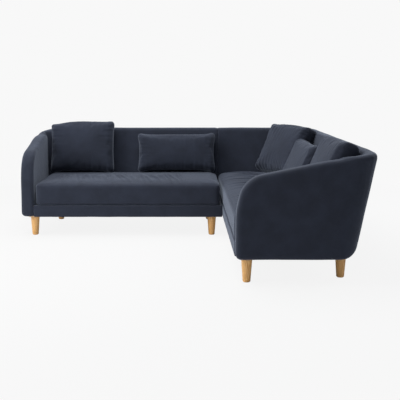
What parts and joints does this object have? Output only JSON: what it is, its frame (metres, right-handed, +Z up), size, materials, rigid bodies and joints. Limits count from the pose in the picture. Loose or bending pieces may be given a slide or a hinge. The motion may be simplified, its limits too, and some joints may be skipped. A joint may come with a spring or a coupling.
{
  "type": "corner sofa",
  "caption": "Corner sofa in dark blue velvet with curved arms, loose seat and scatter cushions and tapered oak legs.",
  "frame": {"origin": "on the floor, under the middle of the sofa's overall box", "axes": "+X to the right seen from the front, +Y to the back of the left wing, +Z up"},
  "size_m": [2.548, 2.228, 0.9266],
  "materials": {
    "navy_velvet": "dark blue velvet pile with a soft sheen",
    "oak": "oiled oak, satin",
    "plywood": "sanded plywood",
    "beech": "planed beech, unfinished",
    "webbing": "woven elastic webbing",
    "deck_felt": "grey felt over foam",
    "black_lining": "non-woven black lining",
    "zinc_steel": "zinc-plated steel"
  },
  "bodies": {
    "left_module": {"left_arm_upholstery": "navy_velvet", "left_back_upholstery": "navy_velvet", "left_front_border": "navy_velvet", "left_deck_pad": "deck_felt", "left_dust_cover": "black_lining", "left_webbing": "webbing", "left_front_rail": "beech", "left_rear_rail": "beech", "left_end_rail": "beech", "left_cross_rails": "beech", "left_arm_panel": "plywood", "left_back_soles": "plywood", "left_back_posts": "beech", "left_back_top_rails": "beech", "left_leg_blocks": "beech", "left_legs": "oak", "left_connector_sockets": "zinc_steel"},
    "right_module": {"right_arm_upholstery": "navy_velvet", "right_back_upholstery": "navy_velvet", "right_front_border": "navy_velvet", "right_deck_pad": "deck_felt", "right_dust_cover": "black_lining", "right_webbing": "webbing", "right_front_rail": "beech", "right_rear_rail": "beech", "right_end_rail": "beech", "right_cross_rails": "beech", "right_arm_panel": "plywood", "right_back_soles": "plywood", "right_back_posts": "beech", "right_back_top_rails": "beech", "right_leg_blocks": "beech", "right_legs": "oak", "right_connector_hooks": "zinc_steel"},
    "left_seat": {"left_seat_cushion": "navy_velvet"},
    "right_seat": {"right_seat_cushion": "navy_velvet"},
    "left_square": {"left_square_cushion": "navy_velvet"},
    "left_lumbar": {"left_lumbar_cushion": "navy_velvet"},
    "right_square": {"right_square_cushion": "navy_velvet"},
    "right_lumbar": {"right_lumbar_cushion": "navy_velvet"},
    "corner_square": {"corner_square_cushion": "navy_velvet"}
  },
  "joints": [
    {"name": "module_lift", "type": "slide", "parent": "left_module", "child": "right_module", "axis": [0, 0, 1], "range_m": [0, 0.06]},
    {"name": "left_seat_lift", "type": "slide", "parent": "left_module", "child": "left_seat", "axis": [0, 0, 1], "range_m": [0, 0.25]},
    {"name": "right_seat_lift", "type": "slide", "parent": "right_module", "child": "right_seat", "axis": [0, 0, 1], "range_m": [0, 0.25]},
    {"name": "left_square_lift", "type": "slide", "parent": "left_seat", "child": "left_square", "axis": [0, 0, 1], "range_m": [0, 0.3]},
    {"name": "left_lumbar_lift", "type": "slide", "parent": "left_seat", "child": "left_lumbar", "axis": [0, 0, 1], "range_m": [0, 0.3]},
    {"name": "right_square_lift", "type": "slide", "parent": "right_seat", "child": "right_square", "axis": [0, 0, 1], "range_m": [0, 0.3]},
    {"name": "right_lumbar_lift", "type": "slide", "parent": "right_seat", "child": "right_lumbar", "axis": [0, 0, 1], "range_m": [0, 0.3]},
    {"name": "corner_square_lift", "type": "slide", "parent": "right_seat", "child": "corner_square", "axis": [0, 0, 1], "range_m": [0, 0.3]}
  ]
}
